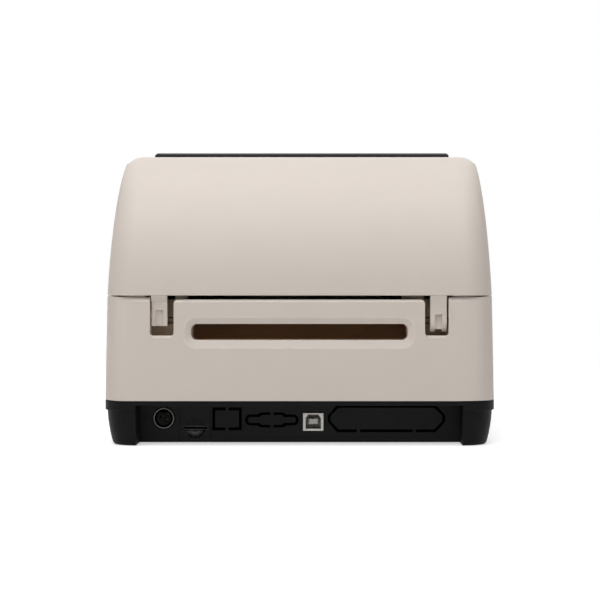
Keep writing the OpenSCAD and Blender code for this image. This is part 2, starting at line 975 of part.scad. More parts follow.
// The rocker rests with one end pressed in
module power_rocker() {
    color(black)
        translate([rocker_x, rocker_y, rocker_z])
            rotate(rocker_tilt) {
                translate([0, 0, -4.6])
                    linear_extrude(9.2)
                        polygon([
                            [-3, -6.2], [-0.5, -8.2], [2, -8.2], [0.8, 0], [2, 8.2], [-0.5, 8.2], [-3, 6.2]
                        ]);
                translate([0, 0, -5.4])
                    cylinder(h = 10.8, r = 1.5);
            }
}

// Sheet steel chassis that carries the platen, motor, gears and sensor rail
module chassis_plate() {
    polygon([
        [platen_y - 12, 40 - eps], [platen_y - 12, platen_z - 4], [platen_y - 8, platen_z + 8],
        [platen_y + 9, platen_z + 8], [platen_y + 14, rail_z + 6], [motor_y + 22, rail_z + 6],
        [motor_y + 22, 40 - eps]
    ]);
}

module print_chassis() {
    color(steel)
        difference() {
            union() {
                both_sides() {
                    along_x(plate_x, plate_t)
                        chassis_plate();
                    block([plate_x - 5, platen_y + 14, 84], [plate_x + eps, platen_y + 24, 86]);
                }
                block([-plate_x - plate_t, platen_y - 12, 38], [plate_x + plate_t, motor_y + 22, 40]);
            }
            both_sides()
                rod_x(plate_x - 1, plate_t + 2, platen_y, platen_z, 5);
            rod_x(plate_x - 1, plate_t + 2, motor_y, motor_z, 5 + fit);
            rod_x(plate_x - 1, plate_t + 2, idler_y, idler_z, 2 + fit);
            both_sides()
                rod_x(plate_x - 1, plate_t + 2, rail_y, rail_z, 2 + fit);
        }
}

module platen_bushings() {
    color(nylon)
        both_sides()
            difference() {
                union() {
                    rod_x(plate_x - 0.4, plate_t + 0.4, platen_y, platen_z, 5 - fit);
                    rod_x(plate_x + plate_t, 1, platen_y, platen_z, 6.5);
                }
                rod_x(plate_x - 2, plate_t + 5, platen_y, platen_z, 3 + run);
            }
}

module drive_motor() {
    color(dark_grey)
        difference() {
            union() {
                rod_x(plate_x - 22, 22, motor_y, motor_z, 17.5);
                rod_x(plate_x - eps, plate_t, motor_y, motor_z, 5);
            }
            rod_x(plate_x - 19, 30, motor_y, motor_z, 1.5 + run);
        }
}

module motor_pinion() {
    color(steel) {
        rod_x(plate_x - 18, gear_x + gear_t - plate_x + 18, motor_y, motor_z, 1.5);
        translate([0, motor_y, motor_z])
            along_x(gear_x, gear_t)
                gear(motor_teeth, gear_module, motor_line);
    }
}

module idler_post() {
    color(steel) {
        rod_x(plate_x, gear_x + gear_t + 0.4 - plate_x, idler_y, idler_z, 2);
        rod_x(gear_x + gear_t + clear, 1, idler_y, idler_z, 3.2);
    }
}

module idler_gear() {
    color(nylon)
        difference() {
            translate([0, idler_y, idler_z])
                along_x(gear_x, gear_t)
                    gear(idler_teeth, gear_module, idler_phase);
            rod_x(gear_x - 1, gear_t + 2, idler_y, idler_z, 2 + run);
        }
}

module platen_gear() {
    color(nylon)
        difference() {
            translate([0, platen_y, platen_z])
                along_x(gear_x, gear_t)
                    gear(platen_teeth, gear_module, platen_phase);
            rod_x(gear_x - 1, gear_t + 2, platen_y, platen_z, 3 + fit);
        }
}

module platen_shaft() {
    color(steel)
        rod_x(-plate_x - plate_t - 3, plate_x + plate_t + 3 + gear_x + gear_t + 2, platen_y, platen_z, 3);
}

module platen_roller() {
    color(rubber)
        difference() {
            rod_x(-label_half, 2 * label_half, platen_y, platen_z, platen_r);
            rod_x(-label_half - 1, 2 * label_half + 2, platen_y, platen_z, 3 + fit);
        }
}

// Plate that the labels run over, slit for the sensor
module path_plate() {
    color(steel)
        difference() {
            block([-plate_x + 0.4, platen_y + 14, 86], [plate_x - 0.4, rail_y + 28, 87.2]);
            block([-40, rail_y - 2.6, 85], [40, rail_y + 2.6, 89]);
        }
}

module sensor_rail() {
    color(steel)
        rod_x(-plate_x - plate_t, 2 * (plate_x + plate_t), rail_y, rail_z, 2);
}

module gap_sensor() {
    color(black)
        difference() {
            union() {
                block([-7, rail_y - 5, rail_z - 2.8], [7, rail_y + 5, rail_z + 5]);
                translate([0, rail_y, rail_z])
                    cylinder(h = 7.8, r = 1.8);
            }
            rod_x(-10, 20, rail_y, rail_z, 2 + run);
        }
}

// Upright of a roll guide with its axle, stem and rack
module guide_shape() {
    along_x(guide_in, guide_t) {
        translate([guide_y - 13, deck_z + clear])
            square([26, roll_z - deck_z]);
        translate([guide_y, roll_z])
            circle(17);
    }
    rod_x(guide_in - hub_len - 0.6, hub_len + 1, guide_y, roll_z, axle_r);
    rod_x(guide_in - hub_len - 1.8, 1.3, guide_y, roll_z, axle_r + 0.8);
    block([guide_in, guide_y + rack_pitch_r + 1.6, rack_z + eps],
        [guide_in + guide_t, guide_y + rack_back, deck_z + 2]);
    translate([0, guide_y + rack_pitch_r, rack_z])
        linear_extrude(rack_h)
            rack(-4, 17, rack_back - rack_pitch_r);
    block([16 * PI, guide_y + rack_pitch_r + 1.6, rack_z],
        [guide_in + 1, guide_y + rack_back, rack_z + rack_h]);
}

module roll_guide_left() {
    color(dark_grey)
        guide_shape();
}

module roll_guide_right() {
    color(dark_grey)
        other_guide()
            guide_shape();
}

module guide_pinion() {
    color(nylon)
        translate([0, guide_y, rack_z])
            difference() {
                linear_extrude(rack_h)
                    gear(guide_teeth, rack_module, 0);
                translate([0, 0, -1])
                    cylinder(h = rack_h + 2, r = 2.5 + run);
            }
}

// Flanged hub that carries one end of the label roll's core
module hub_shape() {
    difference() {
        union() {
            rod_x(guide_in - hub_len, hub_len - clear, guide_y, roll_z, 11.5);
            rod_x(guide_in - 2, 2 - clear, guide_y, roll_z, 15);
        }
        rod_x(guide_in - hub_len - 1, hub_len + 2, guide_y, roll_z, axle_r + run);
        for (a = [0:60:300])
            translate([guide_in - hub_len - 1, guide_y, roll_z])
                rotate([a, 0, 0])
                    translate([0, 7.6, 0])
                        rotate([0, 90, 0])
                            cylinder(h = hub_len - 2, r = 1.8);
    }
}

module roll_hub_left() {
    color(black)
        hub_shape();
}

module roll_hub_right() {
    color(black)
        other_guide()
            hub_shape();
}

module feed_button() {
    color([0.55, 0.56, 0.58]) {
        rod_y(y_front + 0.2, 4, button_x, button_z, button_r);
        rod_y(y_front + fascia_t + clear, 1.2, button_x, button_z, button_r + 1.5);
        rod_y(y_front + 3, 2.3, button_x, button_z, 2);
    }
}

// Button in the side wall with the hook that holds the cover down
module release_shape() {
    outer = body_w / 2;
    along_x(outer - 5, 5)
        translate([release_y, release_z])
            rounded(release_w, release_h, 2.7);
    along_x(outer - 6.6, 2)
        translate([release_y, release_z])
            rounded(release_w + 5, release_h + 4, 4);
    block([outer - 13, release_y - 4, release_z - 4], [outer - 6, release_y + 4, release_z + 4]);
    along_y(release_y - 4, 8)
        polygon([
            [outer - 13, release_z - 4], [outer - 10, release_z - 4], [outer - 10, cover_z + 2],
            [outer - 9, cover_z + 2.5], [outer - 10.5, cover_z + 7], [outer - 13, cover_z + 7]
        ]);
}

module release_button_left() {
    color(dark_grey)
        release_shape();
}

module release_button_right() {
    color(dark_grey)
        mirror([1, 0, 0])
            release_shape();
}

// Everything from here on swings with the cover
module on_cover() {
    translate([0, hinge_y, hinge_z])
        rotate([-cover_open, 0, 0])
            translate([0, -hinge_y, -hinge_z])
                children();
}

// Ledge on the inside of the cover, above the release hook
module cover_ledge() {
    block([body_w / 2 - 8.6, release_y - 5, cover_z + 6],
        [case_half - wall + 1, release_y + 5, cover_z + 9]);
}

exit_half = 66;
exit_top = cover_z + 11.5;

module window_opening() {
    inset = 8;
    block([-pane_w / 2 + inset, slope_y, crest_z - 10],
        [pane_w / 2 - inset, y_back - pane_back - inset, crest_z + 5]);
    along_x(-pane_w / 2 + inset, pane_w - 2 * inset)
        intersection() {
            translate([slope_y, slope_z])
                difference() {
                    circle(front_r + 5);
                    circle(front_r - 12);
                }
            translate([y_front - 5, pane_low + inset])
                square([slope_y - y_front + 5 + eps, 100]);
        }
}

module top_cover() {
    color(beige)
        on_cover()
            difference() {
                union() {
                    loft(concat(
                        [for (a = inner_angles) cover_level(a, wall, corner_r - wall)],
                        [cover_level(0, rim_t, corner_r - rim_t)],
                        [for (a = outer_angles) cover_level(a, 0, outer_r(a))]));
                    both_sides() {
                        cover_ledge();
                        translate([boss_x, boss_y, beam_z + beam_t])
                            cylinder(h = 22.2, r = 4);
                    }
                }
                window_opening();
                block([-exit_half, y_front - 5, cover_z - 1], [exit_half, y_front + 12, exit_top]);
                both_sides()
                    translate([boss_x, boss_y, beam_z])
                        cylinder(h = 16, r = 1.5 + fit);
            }
}

// Curved pane over the crest and down the front slope, standing proud of the cover
pane_low = cover_z + 30;
pane_gap = 0.1;
pane_bevel = 1.5;

module pane_profile(t) {
    intersection() {
        translate([slope_y, slope_z])
            circle(front_r + t);
        translate([y_front - 10, pane_low])
            square([slope_y - y_front + 10, 100]);
    }
    translate([slope_y - eps, crest_z - 20])
        square([y_back - pane_back - slope_y + eps, 20 + t]);
}

module window_pane() {
    color(smoke)
        on_cover()
            difference() {
                along_x(-pane_w / 2, pane_w)
                    difference() {
                        pane_profile(pane_t);
                        translate([0, -eps])
                            pane_profile(pane_gap);
                        translate([slope_y, 0])
                            square([200, crest_z + pane_gap]);
                    }
                both_sides() {
                    // Bevel along each end of the pane, flat on the crest and conical down the slope
                    translate([0, slope_y - eps, 0])
                        along_y(0, 200)
                            polygon([
                                [pane_w / 2 - pane_bevel, crest_z + pane_t],
                                [pane_w / 2, crest_z + pane_t - pane_bevel],
                                [pane_w / 2 + 1, crest_z + pane_t - pane_bevel],
                                [pane_w / 2 + 1, crest_z + pane_t + 1],
                                [pane_w / 2 - pane_bevel, crest_z + pane_t + 1]
                            ]);
                    intersection() {
                        translate([0, slope_y, slope_z])
                            rotate([0, 90, 0])
                                rotate_extrude($fn = 128)
                                    polygon([
                                        [front_r + pane_t, pane_w / 2 - pane_bevel],
                                        [front_r + pane_t - pane_bevel, pane_w / 2],
                                        [front_r + pane_t - pane_bevel, pane_w / 2 + 1],
                                        [front_r + pane_t + 1, pane_w / 2 + 1],
                                        [front_r + pane_t + 1, pane_w / 2 - pane_bevel]
                                    ]);
                        block([0, 2 * y_front, 0], [body_w, slope_y, 2 * crest_z]);
                    }
                }
            }
}

// Tab that holds an arm against the inside of the cover's rear wall
tab_y = y_back - wall - 1.5;
tab_t = 2.8;
tab_z = cover_z + 13.5;

// Left arm: it drops to the hinge pin and ends square
module hinge_arm_left() {
    face_top = [y_back - 3.2, 82];
    face_low = [y_back - 3.4, 68.9];
    dent_z = 78.2;
    dent_y = face_low[0] - 1.6;
    arm_x = 75.7;
    arm_w = 9.2;
    color(beige)
        on_cover()
            difference() {
                union() {
                    along_x(arm_x, arm_w)
                        polygon([
                            [y_back - 0.2, cover_z], face_top, face_low, [hinge_y - 1.5, face_low[1]],
                            [tab_y - tab_t, face_top[1]], [tab_y - tab_t, tab_z],
                            [tab_y, tab_z], [tab_y, cover_z]
                        ]);
                    rod_x(arm_x, arm_w, hinge_y, hinge_z, 4.6);
                }
                block([arm_x - 1, hinge_y - 6, 60], [arm_x + arm_w + 1, y_back, face_low[1]]);
                block([arm_x + 2.5, dent_y, 60], [arm_x + arm_w - 2.5, y_back, dent_z]);
                rod_x(arm_x - 5, arm_w + 10, hinge_y, hinge_z, pin_r + run);
            }
}

// Right arm: it hangs straight and curls round the hinge pin
module hinge_arm_right() {
    barrel_r = 6.5;
    face = hinge_y + barrel_r - 0.1;
    arm_x = -84.4;
    arm_w = 9.4;
    color(beige)
        on_cover()
            difference() {
                union() {
                    along_x(arm_x, arm_w)
                        polygon([
                            [y_back - 0.2, cover_z], [face, 82], [face, hinge_z], [hinge_y, hinge_z],
                            [tab_y - tab_t, 82], [tab_y - tab_t, tab_z], [tab_y, tab_z], [tab_y, cover_z]
                        ]);
                    rod_x(arm_x, arm_w, hinge_y, hinge_z, barrel_r);
                }
                block([arm_x + 2.6, face - 2, 60], [arm_x + arm_w - 2.7, face + 2, 75.7]);
                rod_x(arm_x - 5, arm_w + 10, hinge_y, hinge_z, pin_r + run);
            }
}

// Cross beam inside the cover, with an ear at each end for the head's pin
module head_beam() {
    color(black)
        on_cover()
            difference() {
                union() {
                    block([-boss_x - 6, platen_y - 10, beam_z],
                        [boss_x + 6, head_pin_y + 6, beam_z + beam_t]);
                    both_sides()
                        block([57, head_pin_y - 5, head_pin_z - 4.5], [61, head_pin_y + 6, beam_z + eps]);
                }
                both_sides() {
                    rod_x(56, 6, head_pin_y, head_pin_z, 2);
                    translate([boss_x, boss_y, beam_z - 1])
                        cylinder(h = beam_t + 2, r = 1.7);
                }
            }
}

module beam_screws() {
    color(steel)
        on_cover()
            both_sides()
                translate([boss_x, boss_y, 0]) {
                    translate([0, 0, beam_z - 2])
                        cylinder(h = 2, r = 3);
                    translate([0, 0, beam_z - eps])
                        cylinder(h = 14, r = 1.5);
                }
}

module head_pin() {
    color(steel)
        on_cover()
            rod_x(-61, 122, head_pin_y, head_pin_z, 2 - fit);
}

// A spring wound round +Z between two heights, as one closed tube
wire_sides = 6;
turn_rings = 8;
function wire_ring(a, z, r) = [
    for (s = [0:wire_sides - 1])
        let (b = s * 360 / wire_sides, reach = r + wire_r * cos(b))
        [reach * cos(a), reach * sin(a), z + wire_r * sin(b)]
];

module coil_spring(low, high, r) {
    rings = spring_turns * turn_rings;
    rise = (high - low - 2 * wire_r) / rings;
    loft([for (k = [0:rings]) wire_ring(-k * 360 / turn_rings, low + wire_r + k * rise, r)]);
}

module head_springs() {
    low = bracket_z + bracket_t + 0.2;
    high = beam_z - 0.2;
    echo(spring_gap = (high - low - 2 * wire_r) / spring_turns - 2 * wire_r);
    color(steel)
        on_cover()
            both_sides()
                translate([spring_x, spring_y, 0])
                    coil_spring(low, high, 4);
}

// Carrier of the print head, hung on the head pin
module head_bracket() {
    color(steel)
        on_cover()
            difference() {
                union() {
                    block([-55, platen_y - 12, bracket_z], [55, head_pin_y + 4, bracket_z + bracket_t]);
                    both_sides()
                        block([50, head_pin_y - 4, bracket_z], [52, head_pin_y + 4, head_pin_z + 4]);
                }
                both_sides()
                    rod_x(48, 6, head_pin_y, head_pin_z, 2 + run);
            }
}

module heat_sink() {
    color(aluminium)
        on_cover()
            difference() {
                block([-label_half - 1, platen_y - 12, sink_z], [label_half + 1, platen_y + 14, bracket_z]);
                for (x = [-50:10:50])
                    block([x - 2, platen_y - 13, sink_z + 2.5], [x + 2, platen_y + 15, bracket_z - 2]);
            }
}

// Ceramic plate with the heated ridge that presses the label on the platen
module thermal_head() {
    color([0.85, 0.83, 0.78])
        on_cover() {
            block([-label_half, platen_y - 10, plate_z], [label_half, platen_y + 10, sink_z]);
            rod_x(-label_half, 2 * label_half, platen_y, plate_z, ridge_r);
        }
}

base_tray();
rubber_feet();
base_screws();
lower_case();
hinge_pins();
front_fascia();
status_lenses();
panel_board();
exit_lip();
tear_bar();
media_bay();
main_board();
board_parts();
board_screws();
power_socket_core();
power_socket_shell();
power_contacts();
card_slot_insert();
card_reader();
usb_shell();
usb_tongue();
usb_contacts();
switch_bezel();
print_chassis();
platen_bushings();
drive_motor();
idler_post();
path_plate();
sensor_rail();
label_ramp();
platen_roller();
platen_shaft();
platen_gear();
idler_gear();
motor_pinion();
roll_guide_left();
roll_guide_right();
guide_pinion();
roll_hub_left();
roll_hub_right();
gap_sensor();
feed_button();
power_rocker();
release_button_left();
release_button_right();
top_cover();
window_pane();
hinge_arm_left();
hinge_arm_right();
head_beam();
beam_screws();
head_pin();
head_springs();
head_bracket();
heat_sink();
thermal_head();
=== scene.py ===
import json
import math

import bmesh
import bpy
from mathutils import Euler, Matrix, Vector
from mathutils.bvhtree import BVHTree
from mathutils.geometry import intersect_line_line_2d


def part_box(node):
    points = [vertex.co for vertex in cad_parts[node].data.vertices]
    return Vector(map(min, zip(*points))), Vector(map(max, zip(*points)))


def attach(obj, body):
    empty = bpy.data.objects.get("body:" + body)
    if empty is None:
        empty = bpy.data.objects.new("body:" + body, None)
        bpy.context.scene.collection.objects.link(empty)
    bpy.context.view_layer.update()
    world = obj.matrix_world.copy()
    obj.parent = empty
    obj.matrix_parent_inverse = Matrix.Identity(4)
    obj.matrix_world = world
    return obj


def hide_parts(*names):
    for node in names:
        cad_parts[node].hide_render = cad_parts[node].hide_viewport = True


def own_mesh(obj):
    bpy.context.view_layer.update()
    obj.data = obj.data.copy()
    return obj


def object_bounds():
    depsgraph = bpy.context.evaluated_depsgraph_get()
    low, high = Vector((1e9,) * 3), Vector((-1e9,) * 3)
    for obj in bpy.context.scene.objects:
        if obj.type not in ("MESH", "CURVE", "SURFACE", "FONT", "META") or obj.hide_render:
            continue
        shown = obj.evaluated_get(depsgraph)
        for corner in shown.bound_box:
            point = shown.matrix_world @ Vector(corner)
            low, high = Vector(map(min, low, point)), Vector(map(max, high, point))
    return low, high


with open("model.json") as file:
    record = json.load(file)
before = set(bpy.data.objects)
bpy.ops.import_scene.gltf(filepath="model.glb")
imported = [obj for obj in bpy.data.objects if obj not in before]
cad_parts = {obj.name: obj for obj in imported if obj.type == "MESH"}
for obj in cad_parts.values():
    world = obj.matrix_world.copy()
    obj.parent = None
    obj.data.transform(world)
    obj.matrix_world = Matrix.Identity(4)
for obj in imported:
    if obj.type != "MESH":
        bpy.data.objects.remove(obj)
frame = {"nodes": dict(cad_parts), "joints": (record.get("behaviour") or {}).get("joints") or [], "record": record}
cad_low, cad_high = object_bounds()
nodes = frame["nodes"]
joints = {j["name"]: j for j in frame["joints"]}
body_of = {n: b for b, group in frame["record"]["behaviour"]["bodies"].items() for n in group}
slot_of = {p["node"]: p["material_slot"] for p in frame["record"]["subparts"]}
MM = 0.001
SIDES = (-1, 1)
scene = bpy.context.scene


def extent(node):
    """A CAD node's lowest and highest corner, in millimetres."""
    return tuple(Vector([round(v / MM, 3) for v in corner]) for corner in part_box(node))


# Camera: level, behind the printer; the shift is in pixels of the square picture
CAMERA_X = -0.0144
CAMERA_Z = 0.0925
REAR_TO_CAMERA = 0.8
PICTURE_PX = 600
SHIFT_X_PX = -24.5
SHIFT_Y_PX = -15
cam_data = bpy.data.cameras.new("camera")
cam_data.lens = 84.05
cam_data.sensor_width = 36
cam_data.shift_x = SHIFT_X_PX / PICTURE_PX
cam_data.shift_y = SHIFT_Y_PX / PICTURE_PX
cam_data.clip_start = 0.01
camera = bpy.data.objects.new("camera", cam_data)
camera.location = (CAMERA_X, cad_high.y + REAR_TO_CAMERA, CAMERA_Z)
camera.rotation_euler = (math.radians(90), 0, math.radians(180))
scene.collection.objects.link(camera)
scene.camera = camera
scene.view_settings.view_transform = "Standard"


# Materials
def linear(r, g, b):
    """A colour written in 8-bit sRGB, as the linear values that the shaders take."""
    def channel(v):
        v /= 255
        return v / 12.92 if v <= 0.04045 else ((v + 0.055) / 1.055) ** 2.4
    return (channel(r), channel(g), channel(b), 1)


def shade(colour, share):
    """A linear colour made lighter or darker."""
    return (*(min(1, v * share) for v in colour[:3]), 1)


class Nodes:
    """Adds shader nodes to a tree and links them."""

    def __init__(self, tree):
        self.tree = tree

    def add(self, kind, links=None, **values):
        """A node with the sockets in links fed by others, and fixed values on the sockets named."""
        node = self.tree.nodes.new(kind)
        for key, value in values.items():
            node.inputs[key.title()].default_value = value
        for socket, source in (links or {}).items():
            self.tree.links.new(source, node.inputs[socket])
        return node

    def math(self, operation, *values):
        """Sockets and numbers combined by one operation."""
        node = self.tree.nodes.new("ShaderNodeMath")
        node.operation = operation
        for socket, value in zip(node.inputs, values):
            if isinstance(value, (int, float)):
                socket.default_value = value
            else:
                self.tree.links.new(value, socket)
        return node.outputs[0]

    def mix(self, factor, a, b):
        """Two colours mixed by a factor that varies over the surface."""
        node = self.tree.nodes.new("ShaderNodeMix")
        node.data_type = "RGBA"
        for index, value in ((0, factor), (6, a), (7, b)):
            if isinstance(value, tuple):
                node.inputs[index].default_value = value
            else:
                self.tree.links.new(value, node.inputs[index])
        return node.outputs[2]

    def spread(self, value, low, high):
        """Maps a noise value, which stays near one half, to low and high."""
        node = self.tree.nodes.new("ShaderNodeMapRange")
        for index, limit in enumerate((0.3, 0.7, low, high), start=1):
            node.inputs[index].default_value = limit
        self.tree.links.new(value, node.inputs[0])
        return node.outputs[0]

    def noise(self, size, detail=3.0, stretch=(1, 1, 1)):
        """Noise with features of about size millimetres, in the object's own space."""
        place = self.tree.nodes.new("ShaderNodeTexCoord")
        scale = self.add("ShaderNodeMapping", {"Vector": place.outputs["Object"]}, scale=stretch)
        node = self.add("ShaderNodeTexNoise", {"Vector": scale.outputs[0]},
                        scale=1 / (size * MM), detail=detail)
        return node.outputs["Fac"]

    def seen(self):
        """1 for rays of the camera, of reflections and through glass, and 0 for light."""
        path = self.tree.nodes.new("ShaderNodeLightPath").outputs
        mirrored = self.math("MAXIMUM", path["Is Glossy Ray"], path["Is Transmission Ray"])
        return self.math("MAXIMUM", path["Is Camera Ray"], mirrored)


def blank(name):
    """A new material, its nodes, the sockets of its shader, and the function that links sockets."""
    material = bpy.data.materials.new(name)
    material.use_nodes = True
    tree = material.node_tree
    return material, Nodes(tree), tree.nodes["Principled BSDF"].inputs, tree.links.new


def add_relief(kit, link, sockets, height, strength, distance=0.0001):
    """Roughens the surface by a height that varies over it; distance is its depth in metres."""
    relief = kit.add("ShaderNodeBump", {"Height": height}, strength=strength, distance=distance)
    link(relief.outputs[0], sockets["Normal"])


def moulded(name, colour, rough, specular=0.5, grain=0.35, bump=0.08, mottle=0.03, wear=0.1):
    """Moulded plastic: eroded grain, soft mottling, edges rubbed a little lighter and smoother."""
    material, kit, sockets, link = blank(name)
    colour = linear(*colour)
    cloud = kit.math("MULTIPLY", kit.noise(26), 0.75)
    fleck = kit.math("MULTIPLY", kit.noise(1.6, 2), 0.25)
    blotch = kit.spread(kit.math("ADD", cloud, fleck), 0, 1)
    tone = kit.mix(blotch, shade(colour, 1 - mottle), shade(colour, 1 + mottle))
    edge = kit.tree.nodes.new("ShaderNodeAttribute")
    edge.attribute_name = "edge"
    rubbed = kit.math("MULTIPLY", edge.outputs["Fac"], kit.spread(kit.noise(7), 0.2, 1.0))
    worn = kit.math("MULTIPLY", rubbed, wear)
    link(kit.mix(worn, tone, shade(colour, 1.5)), sockets["Base Color"])
    dull = kit.spread(kit.noise(9), rough - 0.04, rough + 0.04)
    link(kit.math("SUBTRACT", dull, kit.math("MULTIPLY", rubbed, 0.08)), sockets["Roughness"])
    sockets["Specular IOR Level"].default_value = specular
    add_relief(kit, link, sockets, kit.noise(grain, 2), bump)
    return material


def rolled(name, colour, rough, along=0):
    """Metal with fine drawing marks along one axis and slight tarnish."""
    material, kit, sockets, link = blank(name)
    colour = linear(*colour)
    marks = kit.noise(0.4, 3, tuple(0.03 if axis == along else 1 for axis in range(3)))
    cloud = kit.noise(11)
    tone = kit.mix(kit.spread(cloud, 0, 1), shade(colour, 0.9), shade(colour, 1.06))
    link(kit.mix(kit.spread(marks, 0, 0.25), tone, shade(colour, 0.8)), sockets["Base Color"])
    both = kit.math("ADD", kit.math("MULTIPLY", marks, 0.6), kit.math("MULTIPLY", cloud, 0.4))
    link(kit.spread(both, rough - 0.07, rough + 0.09), sockets["Roughness"])
    sockets["Metallic"].default_value = 1
    add_relief(kit, link, sockets, marks, 0.05)
    return material


def smoked(name):
    """Polished smoked acrylic with a faint moulding ripple and dust."""
    material, kit, sockets, link = blank(name)
    colour = linear(18, 15, 12)
    tone = kit.mix(kit.spread(kit.noise(40), 0, 1), shade(colour, 0.9), shade(colour, 1.1))
    dust = kit.spread(kit.noise(0.7, 4), -0.06, 0.03)
    link(kit.mix(dust, tone, linear(80, 75, 68)), sockets["Base Color"])
    link(kit.spread(kit.noise(3), 0.05, 0.1), sockets["Roughness"])
    sockets["Transmission Weight"].default_value = 0.25
    sockets["Specular IOR Level"].default_value = 0.32
    sockets["IOR"].default_value = 1.49
    add_relief(kit, link, sockets, kit.noise(30, 1), 0.03, distance=0.001)
    return material


def ground_rubber(name):
    """Rubber with a ground, slightly dusty face."""
    material, kit, sockets, link = blank(name)
    dust = kit.spread(kit.noise(5, 4), 0, 0.35)
    link(kit.mix(dust, shade(linear(38, 37, 36), 0.85), linear(72, 70, 67)), sockets["Base Color"])
    link(kit.spread(kit.noise(2), 0.62, 0.8), sockets["Roughness"])
    sockets["Specular IOR Level"].default_value = 0.3
    add_relief(kit, link, sockets, kit.noise(0.25, 3), 0.2)
    return material


def solder_mask(name):
    """Circuit board: a green mask over paler tracks."""
    material, kit, sockets, link = blank(name)
    black, white = (0, 0, 0, 1), (1, 1, 1, 1)
    place = kit.tree.nodes.new("ShaderNodeTexCoord")
    bricks = kit.add("ShaderNodeTexBrick", {"Vector": place.outputs["Object"]},
                     scale=160, color1=black, color2=black, mortar=white)
    bricks.inputs["Mortar Size"].default_value = 0.06
    tracks = bricks.outputs["Fac"]
    ground = kit.mix(kit.spread(kit.noise(4), 0, 1), linear(12, 66, 42), linear(18, 84, 54))
    raised = kit.math("MULTIPLY", tracks, 0.7)
    link(kit.mix(raised, ground, linear(46, 122, 84)), sockets["Base Color"])
    link(kit.spread(kit.noise(1.2), 0.28, 0.4), sockets["Roughness"])
    add_relief(kit, link, sockets, tracks, 0.15)
    return material


# Looks by name: the material slots of the record, and finishes that only the scene has
plastics = {
    "beige_plastic": dict(colour=(208, 198, 189), rough=0.52, specular=0.4, mottle=0.012, wear=0.25),
    # Painted shade: a darker, browner beige for the hinge pockets and the ribs beside them
    "painted_pocket_shade": dict(colour=(206, 190, 172), rough=0.6, specular=0.2, mottle=0.04),
    # Painted shade: the ramp, seen only through the label slot, is a warm brown that stands in for the dim light
    # inside
    "ramp_plastic": dict(colour=(184, 137, 97), rough=0.5, specular=0.3),
    "black_plastic": dict(colour=(16, 16, 16), rough=0.5, specular=0.08, bump=0.12, mottle=0.12,
                          wear=0.3),
    # Painted light: a lighter black for the recessed connector panel, which offsets the shade of its recess
    "panel_black_painted_light": dict(colour=(35, 35, 35), rough=0.55, specular=0.09, bump=0.12, mottle=0.08,
                        wear=0.2),
    # Painted highlight: glossier black for the upward-facing half of the finger dish
    "dish_painted_highlight": dict(colour=(18, 18, 18), rough=0.3, specular=0.4, bump=0.06, mottle=0.1),
    # Painted shade: near black for the knock-out grooves and the floor of the power socket
    "painted_shade_black": dict(colour=(4, 4, 4), rough=0.9, specular=0.02, mottle=0.2, wear=0),
    "dark_grey_plastic": dict(colour=(62, 62, 64), rough=0.42, specular=0.35, mottle=0.06),
    "button_grey": dict(colour=(140, 142, 146), rough=0.38, grain=0.25),
    "lens": dict(colour=(198, 222, 200), rough=0.12, grain=1.2, bump=0.02, mottle=0.05),
    "motor_can": dict(colour=(52, 52, 54), rough=0.36, grain=0.8, bump=0.1, mottle=0.1),
    "nylon": dict(colour=(226, 223, 212), rough=0.42, grain=0.5, mottle=0.025),
    "chips": dict(colour=(42, 42, 44), rough=0.45, grain=0.2, bump=0.12, mottle=0.1),
    "tongue_plastic": dict(colour=(222, 221, 216), rough=0.45, mottle=0.04),
    "ceramic": dict(colour=(222, 217, 205), rough=0.22, grain=0.6, bump=0.03),
}
metals = {
    "steel": dict(colour=(184, 185, 188), rough=0.42),
    "dull_nickel": dict(colour=(172, 169, 164), rough=0.45, along=2),
    "dark_nickel": dict(colour=(112, 111, 108), rough=0.4, along=1),
    "card_steel": dict(colour=(66, 66, 65), rough=0.45),
    "oxide_steel": dict(colour=(74, 66, 57), rough=0.55),
    "aluminium": dict(colour=(205, 206, 208), rough=0.36, along=1),
    "contact_metal": dict(colour=(212, 176, 96), rough=0.25, along=1),
}
materials = {
    **{name: moulded(name, **look) for name, look in plastics.items()},
    **{name: rolled(name, **look) for name, look in metals.items()},
    "smoked_pane": smoked("smoked_pane"),
    "rubber": ground_rubber("rubber"),
    "circuit_board": solder_mask("circuit_board"),
}

# Nodes that look different from the rest of their material slot
own_look = {
    "usb_shell": "dull_nickel",
    "power_socket_shell": "dark_nickel",
    "card_reader": "card_steel",
    # The insert sits in the panel's recess and takes its painted light
    "card_slot_insert": "panel_black_painted_light",
    "hinge_pins": "oxide_steel",
}


# Pieces: each stands for a CAD node, with its edges rounded
SMOOTH_ANGLE = 60


def finish_mesh(bm, node):
    """Makes an object of bm that stands for a CAD node and takes over its body and material slot."""
    bmesh.ops.recalc_face_normals(bm, faces=bm.faces)
    mesh = bpy.data.meshes.new(node + "_soft")
    bm.to_mesh(mesh)
    bm.free()
    if "custom_normal" in mesh.attributes:
        mesh.attributes.remove(mesh.attributes["custom_normal"])
    mesh.materials.clear()
    mesh.materials.append(materials[own_look.get(node, slot_of[node])])
    for f in mesh.polygons:
        f.use_smooth = True
    mesh.set_sharp_from_angle(angle=math.radians(SMOOTH_ANGLE))
    obj = bpy.data.objects.new(mesh.name, mesh)
    scene.collection.objects.link(obj)
    flat = obj.modifiers.new("flat_faces", "WEIGHTED_NORMAL")
    flat.mode = "FACE_AREA"
    flat.keep_sharp = True
    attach(obj, body_of[node])
    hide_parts(node)
    return obj


def near_segment(p, c, d):
    """The distance from p to the segment from c to d."""
    t = (p - c).dot(d - c) / max((d - c).length_squared, 1e-18)
    return (p - c.lerp(d, min(1, max(0, t)))).length


